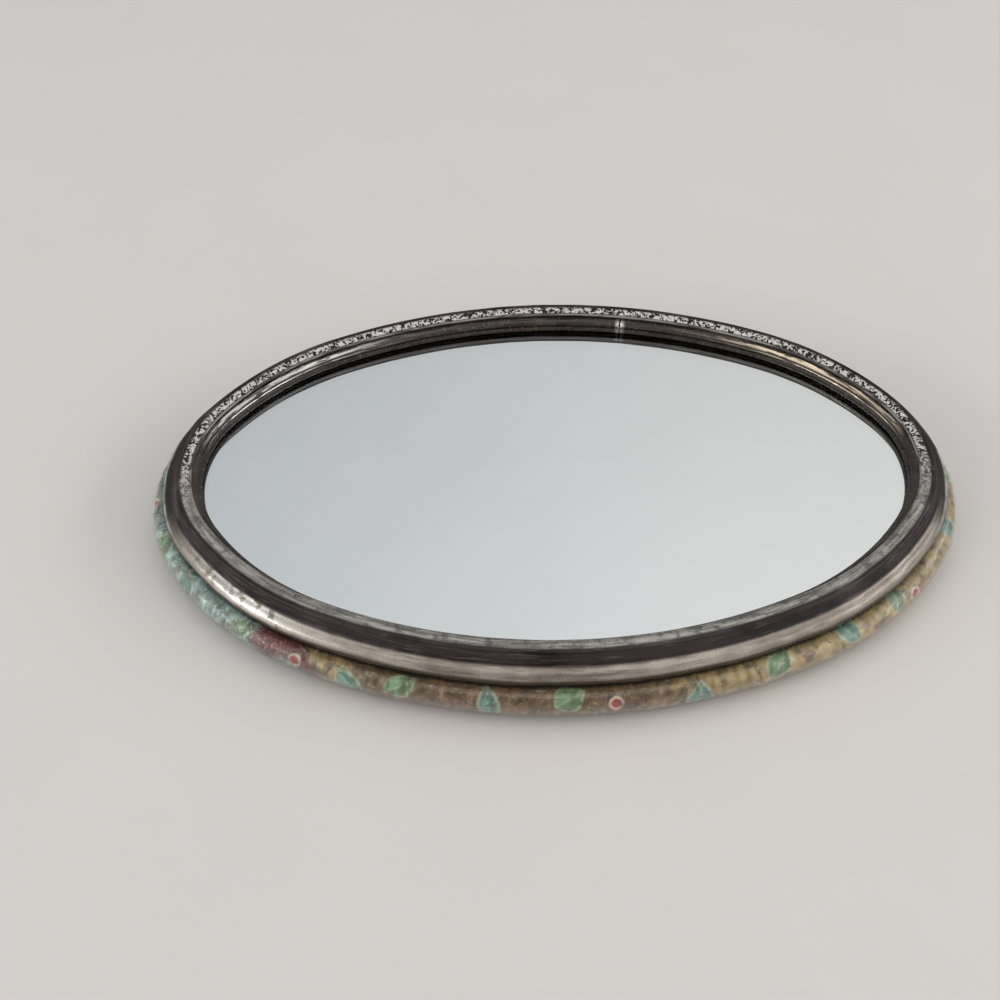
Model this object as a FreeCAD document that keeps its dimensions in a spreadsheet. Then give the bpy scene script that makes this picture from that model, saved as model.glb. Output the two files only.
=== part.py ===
import FreeCAD, Part
import math
import os
import Sketcher

# Oval pocket mirror: a stamped tin back covered with printed paper and clear film, and a beaded tin
# rim that holds the mirror glass. It lies on its picture side with the glass up.
# Millimetres. The origin is under the middle, +X runs along the oval and +Z comes out of the glass.
# Every section is drawn by inset, the distance in from the outer edge, and height above the table.

SIZES = (
    # the whole oval
    ("OvalLength", 70.0, "length over the film"),
    ("OvalWidth", 44.5, "width over the film"),
    # the covered back, film outside, then paper, then tin
    ("FilmThick", 0.15, "clear film"),
    ("PaperThick", 0.1, "printed paper"),
    ("ShellThick", 0.3, "tin of the back"),
    ("RollRadius", 2.35, "round between the back and the side"),
    ("ShoulderRadius", 1.25, "round between the side and the folded lip"),
    ("LipInset", 2.4, "free edge of the folded lip"),
    # the rim
    ("RimThick", 0.3, "tin of the rim"),
    ("SkirtGap", 0.05, "play between the lip and the rim's skirt"),
    ("SkirtDepth", 1.0, "how far the skirt reaches under the lip"),
    ("BeadRadius", 0.85, "outer bead"),
    ("BeadInset", 2.15, "middle of the outer bead"),
    ("RidgeInset", 2.65, "outer side of the ridge"),
    ("RidgeRadius", 0.4, "round on the ridge's outer side"),
    ("RidgeCrown", 1.35, "round over the top of the ridge"),
    # the split ring that keeps the glass down
    ("RingThick", 0.25, "tin of the ring"),
    ("RingPlay", 0.08, "play between the ring and the rim's curled lip"),
    ("LowBeadInset", 4.75, "middle of the bead along the ring's foot"),
    ("LowBeadRadius", 0.13, "bead along the ring's foot"),
    ("HighBeadInset", 4.4, "middle of the upper bead"),
    ("HighBeadRise", 0.5, "upper bead above the glass"),
    ("HighBeadRadius", 0.22, "upper bead"),
    ("SplitPlace", 7.5, "how far the ring's split lies from the middle"),
    ("SplitWidth", 0.3, "the ring's split"),
    # the mirror
    ("GlassRise", 1.4, "how far the glass stands above the folded lip"),
    ("GlassThick", 0.6, "glass"),
    ("GlassPlay", 0.45, "play between the glass and the rim's skirt"),
    ("SilverThick", 0.05, "silvering and paint on the glass"),
)

# degrees: the oval's radii meet where its outward direction has turned by these angles
END_ANGLE = 36
SIDE_ANGLE = 66
# degrees in the rim's section: where the bead meets the cove, and the ridge's crown begins and ends
BEAD_ANGLE = 76
RIDGE_ANGLE = 73
LIP_ANGLE = 130
RIGHT_ANGLE = 90
STRAIGHT_ANGLE = 180


class Size:
    """A length, as a value and as a formula over the cells of the sheet."""

    def __init__(self, value, formula):
        self.value = value
        self.formula = formula

    def __add__(self, other):
        return Size(self.value + other.value, f"({self.formula} + {other.formula})")

    def __sub__(self, other):
        return Size(self.value - other.value, f"({self.formula} - {other.formula})")

    def __mul__(self, share):
        return Size(self.value * share, f"({self.formula} * {share!r})")


def cosine(angle):
    return math.cos(math.radians(angle))


def sine(angle):
    return math.sin(math.radians(angle))


doc = FreeCAD.newDocument("oval_mirror")
sheet = doc.addObject("Spreadsheet::Sheet", "Sizes")
size = {}
for row, (alias, value, meaning) in enumerate(SIZES, start=1):
    sheet.set(f"A{row}", meaning)
    sheet.set(f"B{row}", str(value))
    sheet.setAlias(f"B{row}", alias)
    size[alias] = Size(value, f"Sizes.{alias}")
doc.recompute()

ZERO = Size(0.0, "0")
HALF_LENGTH = size["OvalLength"] * 0.5
HALF_WIDTH = size["OvalWidth"] * 0.5


def oval_radii():
    """End, middle and side radius of an oval of three tangent arcs to the quarter."""
    middle = Size(
        math.sqrt(HALF_LENGTH.value * HALF_WIDTH.value),
        f"sqrt({HALF_LENGTH.formula} * {HALF_WIDTH.formula})",
    )
    along = HALF_LENGTH - middle * (cosine(END_ANGLE) - cosine(SIDE_ANGLE))
    across = HALF_WIDTH - middle * (sine(SIDE_ANGLE) - sine(END_ANGLE))
    end_lift = 1 - cosine(END_ANGLE)
    side_lift = 1 - sine(SIDE_ANGLE)
    scale = 1 / (end_lift * side_lift - cosine(SIDE_ANGLE) * sine(END_ANGLE))
    end = (along * side_lift - across * cosine(SIDE_ANGLE)) * scale
    side = (across * end_lift - along * sine(END_ANGLE)) * scale
    return end, middle, side


END_RADIUS, MIDDLE_RADIUS, SIDE_RADIUS = oval_radii()


def origin_plane(body, role):
    return [item for item in body.Origin.OriginFeatures if item.Role == role][0]


def new_sketch(body, name, role):
    sketch = body.newObject("Sketcher::SketchObject", name)
    sketch.AttachmentSupport = [(origin_plane(body, role), "")]
    sketch.MapMode = "FlatFace"
    return sketch


def bind(sketch, constraint, target):
    """Adds a constraint whose datum follows the sheet."""
    index = sketch.addConstraint(constraint)
    sketch.setExpression(f"Constraints[{index}]", target.formula)


def pin(sketch, edge, end, across, up):
    """Fixes one end of an edge at a place that follows the sheet."""
    if across.value == 0:
        sketch.addConstraint(Sketcher.Constraint("PointOnObject", edge, end, -2))
    else:
        bind(sketch, Sketcher.Constraint("DistanceX", edge, end, across.value), across)
    if up.value == 0:
        sketch.addConstraint(Sketcher.Constraint("PointOnObject", edge, end, -1))
    else:
        bind(sketch, Sketcher.Constraint("DistanceY", edge, end, up.value), up)


def oval_sketch(body, name, inset):
    """An oval that lies the given inset inside the outer edge."""
    end = END_RADIUS - inset
    middle = MIDDLE_RADIUS - inset
    side = SIDE_RADIUS - inset
    end_centre = HALF_LENGTH - END_RADIUS
    lean = END_RADIUS - MIDDLE_RADIUS
    first = (end_centre + end * cosine(END_ANGLE), end * sine(END_ANGLE))
    second = (
        end_centre + lean * cosine(END_ANGLE) + middle * cosine(SIDE_ANGLE),
        lean * sine(END_ANGLE) + middle * sine(SIDE_ANGLE),
    )
    nose = (HALF_LENGTH - inset, ZERO)

    def at(point, flip_x, flip_y):
        return FreeCAD.Vector(flip_x * point[0].value, flip_y * point[1].value)

    joints = [at(nose, 1, 1)]
    for flip_x, flip_y, pair in ((1, 1, (first, second)), (-1, 1, (second, first)),
                                 (-1, -1, (first, second)), (1, -1, (second, first))):
        joints += [at(point, flip_x, flip_y) for point in pair]
    radii = (end, middle, side, middle, end, middle, side, middle, end)
    sketch = new_sketch(body, name, "XY_Plane")
    for start, radius in enumerate(radii):
        begin = joints[start]
        finish = joints[(start + 1) % len(joints)]
        chord = finish - begin
        lift = math.sqrt(radius.value ** 2 - chord.Length ** 2 / 4)
        centre = (begin + finish) * 0.5 + FreeCAD.Vector(-chord.y, chord.x) * (lift / chord.Length)
        turns = [math.atan2(point.y - centre.y, point.x - centre.x) for point in (begin, finish)]
        circle = Part.Circle(centre, FreeCAD.Vector(0, 0, 1), radius.value)
        sketch.addGeometry(Part.ArcOfCircle(circle, turns[0], turns[1]))
    last = len(radii) - 1
    for edge in range(len(radii)):
        following = (edge + 1) % len(radii)
        sketch.addConstraint(Sketcher.Constraint("Coincident", edge, 2, following, 1))
    pin(sketch, 0, 1, *nose)
    pin(sketch, 1, 1, *first)
    pin(sketch, 2, 1, *second)
    for near, far, axis in ((2, 3, -2), (1, 4, -2), (4, 5, -1), (3, 6, -1), (2, 7, -1), (1, last, -1)):
        sketch.addConstraint(Sketcher.Constraint("Symmetric", near, 1, far, 1, axis))
    for edge, radius in enumerate((end, middle, side)):
        bind(sketch, Sketcher.Constraint("Radius", edge, radius.value), radius)
    for like, edges in ((0, (4, last)), (1, (3, 5, 7)), (2, (6,))):
        for edge in edges:
            sketch.addConstraint(Sketcher.Constraint("Equal", like, edge))
    return sketch


def closed_outline(sketch, places):
    """Straight edges round a row of corners."""
    for edge, (across, up) in enumerate(places):
        next_across, next_up = places[(edge + 1) % len(places)]
        begin = FreeCAD.Vector(across.value, up.value)
        finish = FreeCAD.Vector(next_across.value, next_up.value)
        sketch.addGeometry(Part.LineSegment(begin, finish))
    for edge, (across, up) in enumerate(places):
        following = (edge + 1) % len(places)
        sketch.addConstraint(Sketcher.Constraint("Coincident", edge, 2, following, 1))
        pin(sketch, edge, 1, across, up)


def section_sketch(body, name, outline):
    """A closed section through the oval's nose, from points of inset and height."""
    sketch = new_sketch(body, name, "XZ_Plane")
    closed_outline(sketch, [(HALF_LENGTH - inset, height) for inset, height in outline])
    return sketch


def round_points(centre, radius, start, end, steps):
    """Points along a round, by angle up from the outward direction."""
    inset, height = centre
    points = []
    for step in range(steps + 1):
        angle = start + (end - start) * step / steps
        points.append((inset - radius * cosine(angle), height + radius * sine(angle)))
    return points


def new_body(label):
    body = doc.addObject("PartDesign::Body", label + "_body")
    body.Label = label
    return body


def sweep(body, outline):
    """Carries a section once round the oval."""
    path = oval_sketch(body, body.Label + "_path", ZERO)
    section = section_sketch(body, body.Label + "_section", outline)
    doc.recompute()
    pipe = body.newObject("PartDesign::AdditivePipe", body.Label + "_sweep")
    pipe.Profile = section
    pipe.Spine = (path, [])
    return pipe


def plate(body, inset, bottom, thickness):
    """An oval plate at a height."""
    outline = oval_sketch(body, body.Label + "_outline", inset)
    outline.setExpression("AttachmentOffset.Base.z", bottom.formula)
    pad = body.newObject("PartDesign::Pad", body.Label + "_plate")
    pad.Profile = outline
    pad.setExpression("Length", thickness.formula)
    return pad


# chords to each round
ROLL_STEPS = 2
SHOULDER_STEPS = 1
BEAD_STEPS = 4
COVE_STEPS = 2
CROWN_STEPS = 2
RING_BEAD_STEPS = 2

# heights that the pieces share
LIP_TOP = size["RollRadius"] + size["ShoulderRadius"]
GLASS_TOP = LIP_TOP + size["GlassRise"]
SILVER_TOP = GLASS_TOP - size["GlassThick"]
SILVER_BOTTOM = SILVER_TOP - size["SilverThick"]
WRAP_THICK = size["FilmThick"] + size["PaperThick"]
FLOOR = WRAP_THICK + size["ShellThick"]

# insets that the pieces share
SKIRT_OUTER = size["LipInset"] + size["SkirtGap"]
SKIRT_INNER = SKIRT_OUTER + size["RimThick"]
GLASS_INSET = SKIRT_INNER + size["GlassPlay"]


def wrap_line(depth, roll_steps=ROLL_STEPS):
    """The rolled side of the covered back, the given depth under the film's outer face."""
    roll = (size["RollRadius"], size["RollRadius"])
    shoulder = (size["ShoulderRadius"], size["RollRadius"])
    line = round_points(roll, size["RollRadius"] - depth, -RIGHT_ANGLE, 0, roll_steps)
    line += round_points(shoulder, size["ShoulderRadius"] - depth, 0, RIGHT_ANGLE, SHOULDER_STEPS)[1:]
    return line


def wrap(label, depth, thickness, outer, inner):
    """One layer of the covered back: flat middle and rolled side, between its two faces' lines."""
    body = new_body(label)
    sweep(body, outer + inner[::-1])
    doc.recompute()
    body.Tip = plate(body, size["RollRadius"], depth, thickness)
    return body


def lip(depth):
    """The folded lip's free edge."""
    return [(size["LipInset"], LIP_TOP - depth)]


def clear_film():
    outer = wrap_line(ZERO) + lip(ZERO)
    inner = wrap_line(size["FilmThick"]) + lip(size["FilmThick"])
    return wrap("clear_film", ZERO, size["FilmThick"], outer, inner)


def printed_paper():
    """Cut smaller than the film, so it ends where the lip begins."""
    outer = wrap_line(size["FilmThick"])
    return wrap("printed_paper", size["FilmThick"], size["PaperThick"], outer, wrap_line(WRAP_THICK))


def back_shell():
    """Pressed tin, with plain corners inside."""
    outer = wrap_line(WRAP_THICK) + lip(WRAP_THICK)
    inner = wrap_line(FLOOR, roll_steps=1)[:-1] + lip(FLOOR)
    return wrap("back_shell", WRAP_THICK, size["ShellThick"], outer, inner)


def mirror_plate(label, bottom, thickness):
    body = new_body(label)
    body.Tip = plate(body, GLASS_INSET, bottom, thickness)
    return body


# the rim's section, from its bead inwards
BEAD_CENTRE = (size["BeadInset"], LIP_TOP + size["BeadRadius"])
COVE_RADIUS = (size["RidgeInset"] - size["BeadInset"] + size["BeadRadius"] * cosine(BEAD_ANGLE)) * (
    1 / (1 - cosine(BEAD_ANGLE))
)
BEAD_TOP = BEAD_CENTRE[1] + size["BeadRadius"]
COVE_REACH = size["BeadRadius"] + COVE_RADIUS
COVE_CENTRE = (
    BEAD_CENTRE[0] - COVE_REACH * cosine(BEAD_ANGLE),
    BEAD_CENTRE[1] + COVE_REACH * sine(BEAD_ANGLE),
)
RIDGE_CENTRE = (size["RidgeInset"] + size["RidgeRadius"], COVE_CENTRE[1])
CROWN_REACH = size["RidgeCrown"] - size["RidgeRadius"]
CROWN_CENTRE = (
    RIDGE_CENTRE[0] + CROWN_REACH * cosine(RIDGE_ANGLE),
    RIDGE_CENTRE[1] - CROWN_REACH * sine(RIDGE_ANGLE),
)
CROWN_INNER = size["RidgeCrown"] - size["RimThick"]
LIP_END, CROWN_FOOT = round_points(CROWN_CENTRE, CROWN_INNER, LIP_ANGLE, RIDGE_ANGLE, 1)


def front_rim():
    """Rolled tin rim: skirt, outer bead on the folded lip, cove, and a ridge curled in over the glass."""
    skirt_foot = LIP_TOP - size["SkirtDepth"]
    cove_foot = STRAIGHT_ANGLE + BEAD_ANGLE
    outline = [(SKIRT_OUTER, skirt_foot), (SKIRT_OUTER, LIP_TOP)]
    outline += round_points(BEAD_CENTRE, size["BeadRadius"], -RIGHT_ANGLE, BEAD_ANGLE, BEAD_STEPS)
    outline += round_points(COVE_CENTRE, COVE_RADIUS, cove_foot, STRAIGHT_ANGLE, COVE_STEPS)[1:]
    outline += round_points(RIDGE_CENTRE, size["RidgeRadius"], 0, RIDGE_ANGLE, 1)[1:]
    outline += round_points(CROWN_CENTRE, size["RidgeCrown"], RIDGE_ANGLE, LIP_ANGLE, CROWN_STEPS)[1:]
    outline += [LIP_END, CROWN_FOOT, (SKIRT_INNER, BEAD_TOP), (SKIRT_INNER, skirt_foot)]
    body = new_body("front_rim")
    body.Tip = sweep(body, outline)
    return body


def retaining_ring():
    """Beaded strip that holds the glass down, its two ends meeting at a narrow split."""
    low = (size["LowBeadInset"], GLASS_TOP + size["LowBeadRadius"])
    high = (size["HighBeadInset"], GLASS_TOP + size["HighBeadRise"])
    wall = LIP_END[0] - size["RingPlay"]
    top = LIP_END[1] - size["RingPlay"]
    under = STRAIGHT_ANGLE + RIGHT_ANGLE
    outline = round_points(low, size["LowBeadRadius"], under, RIGHT_ANGLE, RING_BEAD_STEPS)
    outline += round_points(high, size["HighBeadRadius"], under, RIGHT_ANGLE, RING_BEAD_STEPS)
    outline += [(wall, top), (wall - size["RingThick"], top)]
    outline += [(size["HighBeadInset"] - size["RingThick"], GLASS_TOP)]
    body = new_body("retaining_ring")
    sweep(body, outline)
    doc.recompute()
    body.Tip = split(body)
    return body


def split(body):
    """A narrow slot through the far side of the ring."""
    near = size["SplitPlace"] - size["SplitWidth"] * 0.5
    far = size["SplitPlace"] + size["SplitWidth"] * 0.5
    corners = ((near, ZERO), (far, ZERO), (far, HALF_WIDTH), (near, HALF_WIDTH))
    sketch = new_sketch(body, "ring_split", "XY_Plane")
    sketch.setExpression("AttachmentOffset.Base.z", (LIP_TOP + size["OvalWidth"]).formula)
    closed_outline(sketch, corners)
    pocket = body.newObject("PartDesign::Pocket", "ring_split_cut")
    pocket.Profile = sketch
    pocket.Type = "ThroughAll"
    return pocket


def build():
    bodies = [
        clear_film(),
        printed_paper(),
        back_shell(),
        mirror_plate("backing_card", FLOOR, SILVER_BOTTOM - FLOOR),
        mirror_plate("silver_coat", SILVER_BOTTOM, size["SilverThick"]),
        mirror_plate("mirror_glass", SILVER_TOP, size["GlassThick"]),
        retaining_ring(),
        front_rim(),
    ]
    doc.recompute()
    return bodies


def check(bodies):
    """Stops the build if any object failed or any piece isn't one valid solid."""
    for item in doc.Objects:
        if {"Invalid", "Error"} & set(item.State):
            raise RuntimeError(f"{item.Label} failed: {item.State}")
    for body in bodies:
        shape = body.Shape
        if shape.isNull() or not shape.isValid() or len(shape.Solids) != 1:
            raise RuntimeError(f"{body.Label} is not one valid solid")


pieces = build()
check(pieces)
os.makedirs("parts", exist_ok=True)
for piece in pieces:
    piece.Shape.exportStep(f"parts/{piece.Label}.step")
    box = piece.Shape.BoundBox
    print(f"{piece.Label}: {piece.Shape.Volume:.2f} mm3, height {box.ZMin:.2f} to {box.ZMax:.2f}")
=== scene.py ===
import math

import bpy
import numpy as np
from mathutils import Matrix, Vector

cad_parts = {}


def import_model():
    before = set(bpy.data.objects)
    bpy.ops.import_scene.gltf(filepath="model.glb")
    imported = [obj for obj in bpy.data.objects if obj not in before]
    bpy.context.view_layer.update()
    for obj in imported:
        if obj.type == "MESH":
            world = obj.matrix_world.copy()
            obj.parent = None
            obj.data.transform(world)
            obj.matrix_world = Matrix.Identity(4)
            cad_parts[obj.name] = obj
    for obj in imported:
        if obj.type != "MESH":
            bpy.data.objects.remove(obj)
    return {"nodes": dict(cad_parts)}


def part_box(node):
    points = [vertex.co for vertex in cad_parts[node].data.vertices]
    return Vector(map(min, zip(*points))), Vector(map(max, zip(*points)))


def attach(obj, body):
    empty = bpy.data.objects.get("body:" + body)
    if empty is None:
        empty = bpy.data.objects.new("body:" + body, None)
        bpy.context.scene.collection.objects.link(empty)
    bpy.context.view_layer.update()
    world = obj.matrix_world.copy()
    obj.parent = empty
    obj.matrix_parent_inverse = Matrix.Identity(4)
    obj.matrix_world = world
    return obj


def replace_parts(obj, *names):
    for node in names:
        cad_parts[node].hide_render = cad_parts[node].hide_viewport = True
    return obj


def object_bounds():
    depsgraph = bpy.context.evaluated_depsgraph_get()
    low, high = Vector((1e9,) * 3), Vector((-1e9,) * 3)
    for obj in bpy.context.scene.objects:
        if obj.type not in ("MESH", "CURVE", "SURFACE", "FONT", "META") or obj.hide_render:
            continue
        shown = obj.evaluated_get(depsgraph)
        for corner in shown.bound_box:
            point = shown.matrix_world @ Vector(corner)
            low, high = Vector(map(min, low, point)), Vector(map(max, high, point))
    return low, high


# Oval pocket mirror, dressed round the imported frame. Values are millimetres and degrees, and MM turns
# lengths into the frame's metres. A section is drawn by inset, the distance in from the outer edge,
# and by height above the table. "Along" runs round the oval, counterclockwise from the right end.

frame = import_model()
cad_low, cad_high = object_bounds()

MM = 0.001

# sizes taken from the frame
LENGTH = (cad_high.x - cad_low.x) / MM
WIDTH = (cad_high.y - cad_low.y) / MM
RIM_TOP = cad_high.z / MM
LIP_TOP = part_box("clear_film")[1].z / MM
GLASS_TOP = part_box("mirror_glass")[1].z / MM
GLASS_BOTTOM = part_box("mirror_glass")[0].z / MM
GLASS_INSET = LENGTH / 2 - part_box("mirror_glass")[1].x / MM
RING_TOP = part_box("retaining_ring")[1].z / MM
SKIRT_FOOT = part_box("front_rim")[0].z / MM

# the oval: three tangent arcs to the quarter, which meet where the outward direction has turned by these
END_ANGLE = 36
SIDE_ANGLE = 66

# the covered back
FILM_THICK = 0.15
PAPER_THICK = 0.1
ROLL_RADIUS = 2.35
SHOULDER_RADIUS = 1.25
LIP_INSET = 2.4

# the rim
RIM_THICK = 0.3
SKIRT_OUTER = 2.45
BEAD_RADIUS = 0.85
BEAD_INSET = 2.15
BEAD_END = 76
RIDGE_INSET = 2.65
RIDGE_RADIUS = 0.4
RIDGE_END = 73
CROWN_RADIUS = 1.35
CROWN_END = 130

# the retaining ring
RING_THICK = 0.25
RING_PLAY = 0.08
LOW_BEAD_INSET = 4.75
LOW_BEAD_RADIUS = 0.13
HIGH_BEAD_INSET = 4.4
HIGH_BEAD_RISE = 0.5
HIGH_BEAD_RADIUS = 0.22
SPLIT_PLACE = 7.5
SPLIT_WIDTH = 0.3

# the meshes: stations round the oval, steps to each station when it is measured, and point spacings
STATIONS = 1440
FINE_STEPS = 16
ROUND_SPACING = 0.07
FINE_SPACING = 0.05
CURL_SPACING = 0.06
RING_SPACING = 0.03
STRAIGHT_SPACING = 0.15
HIDDEN_SPACING = 0.2
SAME_PLACE = 1e-4
TINY = 1e-9
QUAD = 4

FULL_TURN = 2 * np.pi


def cosine(angle):
    return math.cos(math.radians(angle))


def sine(angle):
    return math.sin(math.radians(angle))


# The oval

def oval_arcs():
    """Centre and radius of the end, middle and side arcs of the first quarter."""
    half_length = LENGTH / 2
    half_width = WIDTH / 2
    middle = math.sqrt(half_length * half_width)
    along = half_length - middle * (cosine(END_ANGLE) - cosine(SIDE_ANGLE))
    across = half_width - middle * (sine(SIDE_ANGLE) - sine(END_ANGLE))
    end_lift = 1 - cosine(END_ANGLE)
    side_lift = 1 - sine(SIDE_ANGLE)
    scale = 1 / (end_lift * side_lift - cosine(SIDE_ANGLE) * sine(END_ANGLE))
    end = (along * side_lift - across * cosine(SIDE_ANGLE)) * scale
    side = (across * end_lift - along * sine(END_ANGLE)) * scale
    lean = end - middle
    end_centre = (half_length - end, 0)
    middle_centre = (end_centre[0] + lean * cosine(END_ANGLE), lean * sine(END_ANGLE))
    return (end_centre, end), (middle_centre, middle), ((0, half_width - side), side)


def first_quarter(turn):
    """Directions folded into the first quarter, and which of its three arcs each belongs to."""
    folded = np.arctan2(np.abs(np.sin(turn)), np.abs(np.cos(turn)))
    which = (folded > math.radians(END_ANGLE)).astype(int) + (folded > math.radians(SIDE_ANGLE))
    return folded, which


def oval(count):
    """Evenly spaced places on the outer edge, their outward directions and distances along it."""
    arcs = oval_arcs()
    centres = np.array([centre for centre, radius in arcs])
    radii = np.array([radius for centre, radius in arcs])
    fine = np.linspace(0, FULL_TURN, FINE_STEPS * count + 1)
    reach = radii[first_quarter(fine)[1]]
    steps = np.diff(fine) * (reach[1:] + reach[:-1]) / 2
    travelled = np.concatenate([[0], np.cumsum(steps)])
    along = np.arange(count) * travelled[-1] / count
    turn = np.interp(along, travelled, fine)
    folded, which = first_quarter(turn)
    outward = np.stack([np.cos(turn), np.sin(turn)], axis=1)
    quarter = np.stack([np.cos(folded), np.sin(folded)], axis=1)
    place = (centres[which] + radii[which][:, None] * quarter) * np.where(outward < 0, -1, 1)
    return place, outward, along, travelled[-1]


EDGE, OUTWARD, ALONG, ROUND_LENGTH = oval(STATIONS)

# the distance along the oval, as an angle round a circle of the same length
TURN = FULL_TURN * ALONG / ROUND_LENGTH

# how far each station faces the near side, from -1 to 1
NEAR = -OUTWARD[:, 1]


# Sections

def arc_points(centre, radius, start, end, spacing=ROUND_SPACING):
    """Inset and height along a round, by angle up from the outward direction."""
    count = max(2, int(abs(math.radians(end - start)) * radius / spacing) + 1)
    angles = np.radians(np.linspace(start, end, count))
    return np.stack([centre[0] - radius * np.cos(angles), centre[1] + radius * np.sin(angles)], axis=1)


def line_points(start, end, spacing=STRAIGHT_SPACING):
    """Inset and height along a straight line."""
    count = max(2, int(math.dist(start, end) / spacing) + 2)
    share = np.linspace(0, 1, count)[:, None]
    return np.array(start) * (1 - share) + np.array(end) * share


def joined(*stretches):
    """One row of points from stretches that may repeat their common ends."""
    points = [stretches[0][0]]
    for stretch in stretches:
        for point in stretch:
            if math.dist(point, points[-1]) > SAME_PLACE:
                points.append(point)
    return np.array(points)


def lengths(section):
    """Distance travelled along a section at each of its points."""
    steps = np.hypot(*np.diff(section, axis=0).T)
    return np.concatenate([[0], np.cumsum(steps)])


def normals(section):
    """Directions square to a section, to the left of its run: outwards where it climbs inwards."""
    run = np.gradient(section, axis=0)
    run /= np.maximum(np.hypot(*run.T), TINY)[:, None]
    return np.stack([-run[:, 1], run[:, 0]], axis=1)


# Surface relief

WAVE_COUNT = 28
BEAT_SHARES = (0.4, 1.4)
RATE_SHARES = (-1.2, 1.2)


def waves(across, along_length, across_length, seed, count=WAVE_COUNT):
    """A smooth random field over section points and stations, near -1 to 1, seamless round the oval."""
    random = np.random.default_rng(seed)
    turns = ROUND_LENGTH / along_length
    field = np.zeros((len(across), STATIONS))
    for _ in range(count):
        beats = round(turns * random.uniform(*BEAT_SHARES)) * random.choice((-1, 1))
        rate = FULL_TURN / across_length * random.uniform(*RATE_SHARES)
        start = random.uniform(0, FULL_TURN)
        field += np.cos(beats * TURN[None, :] + rate * across[:, None] + start)
    return field / math.sqrt(count)


def relief(across, fields):
    """The sum of random fields, each given by height, length along, length across and seed."""
    return sum(height * waves(across, along, wide, seed) for height, along, wide, seed in fields)


def smooth(low, high, value):
    """Rises from 0 to 1 while the value goes from low to high."""
    share = np.clip((value - low) / (high - low), 0, 1)
    return share * share * (3 - 2 * share)


def peak(middle, spread, value):
    """One at the middle, and less by how many spreads the value is from it."""
    return np.exp(-((value - middle) / spread) ** 2)


# Meshes

def new_piece(name, points, faces, material, values):
    """A mesh from millimetres that rides on the part, with named values at its points.

    Faces are arrays of corners, one array for each number of corners. Triangles and quads are smooth."""
    corners = np.concatenate([group.ravel() for group in faces])
    sides = np.concatenate([np.full(len(group), group.shape[1]) for group in faces])
    starts = np.concatenate([[0], np.cumsum(sides)[:-1]])
    mesh = bpy.data.meshes.new(name)
    mesh.vertices.add(len(points))
    mesh.vertices.foreach_set("co", (points * MM).astype(np.float32).ravel())
    mesh.loops.add(len(corners))
    mesh.loops.foreach_set("vertex_index", corners.astype(np.int32))
    mesh.polygons.add(len(sides))
    mesh.polygons.foreach_set("loop_start", starts.astype(np.int32))
    mesh.update(calc_edges=True)
    mesh.polygons.foreach_set("use_smooth", sides <= QUAD)
    for key, value in values.items():
        vector = value.ndim == 2
        layer = mesh.attributes.new(key, "FLOAT_VECTOR" if vector else "FLOAT", "POINT")
        layer.data.foreach_set("vector" if vector else "value", value.astype(np.float32).ravel())
    mesh.materials.append(material)
    piece = bpy.data.objects.new(name, mesh)
    bpy.context.scene.collection.objects.link(piece)
    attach(piece, "root")
    return piece


def ring_faces(rows, closed, gap=None):
    """Quads between neighbouring rings of stations. Closed joins the last ring to the first.

    The gap names a station: the quads between it and the next station are left out."""
    station = np.arange(STATIONS)
    if gap is not None:
        station = np.delete(station, gap)
    following = (station + 1) % STATIONS
    base = np.arange(rows if closed else rows - 1)[:, None] * STATIONS
    beyond = (base + STATIONS) % (rows * STATIONS)
    corners = (base + station, base + following, beyond + following, beyond + station)
    return np.stack(corners, axis=2).reshape(-1, QUAD)


def fan(middle, ring, outwards):
    """Triangles from a middle point to a ring of stations."""
    following = np.roll(ring, -1)
    pair = (following, ring) if outwards else (ring, following)
    return np.stack([np.full(STATIONS, middle), *pair], 1)


def on_oval(insets, heights):
    """Points for arrays of inset and height over section points and stations."""
    flat = EDGE[None] - OUTWARD[None] * insets[:, :, None]
    return np.concatenate([flat, heights[:, :, None]], axis=2)


def pushed(section, rise):
    """A section at every station, moved square to itself by the rise."""
    side = normals(section)
    insets = section[:, :1] + rise * side[:, :1]
    heights = section[:, 1:] + rise * side[:, 1:]
    return insets, heights


def unrolled(across):
    """Seamless places on the surface: round a circle as long as the oval, and across it."""
    circle = np.stack([np.cos(TURN), np.sin(TURN)], axis=1) * (ROUND_LENGTH / FULL_TURN)
    around = np.repeat(circle[None], len(across), axis=0)
    lift = np.repeat(across[:, None, None], STATIONS, axis=1)
    return np.concatenate([around, lift], axis=2).reshape(-1, 3)


def swept(name, section, rise, material, values, ceiling, gap=None):
    """Carries a closed section round the oval, open after the station that the gap names."""
    insets, heights = pushed(section, rise)
    points = on_oval(insets, np.minimum(heights, ceiling))
    faces = [ring_faces(len(section), True, gap)]
    if gap is not None:
        rows = np.arange(len(section)) * STATIONS
        faces += [(rows + gap)[None], (rows + gap + 1)[None, ::-1]]
    table = {"unrolled": unrolled(lengths(section))}
    for key, value in values.items():
        table[key] = np.broadcast_to(value, insets.shape).ravel()
    return new_piece(name, points.reshape(-1, 3), faces, material, table)


# The covered back: paper and film, gathered in small pleats round the side

HIDDEN_RING_STEP = 12
FILM_RINGS = 14
PAPER_RINGS = 130
AIR = 0.01
SIDE_LENGTH = math.pi / 2 * (ROLL_RADIUS + SHOULDER_RADIUS) + LIP_INSET - SHOULDER_RADIUS
PLEAT_START = 1.2
PLEAT_FULL = 4.6
PLEAT_SINK = 0.05
SWAY_SINK = 0.012
CRINKLE_START = 0.8
CRINKLE_LIMIT = 0.085
# height, length along, length across and seed
PLEATS = ((0.035, 1.1, 7.0, 11), (0.03, 3.4, 9.0, 12), (0.014, 2.2, 1.6, 13))
SWAYS = ((0.008, 6, 5, 14),)


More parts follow.
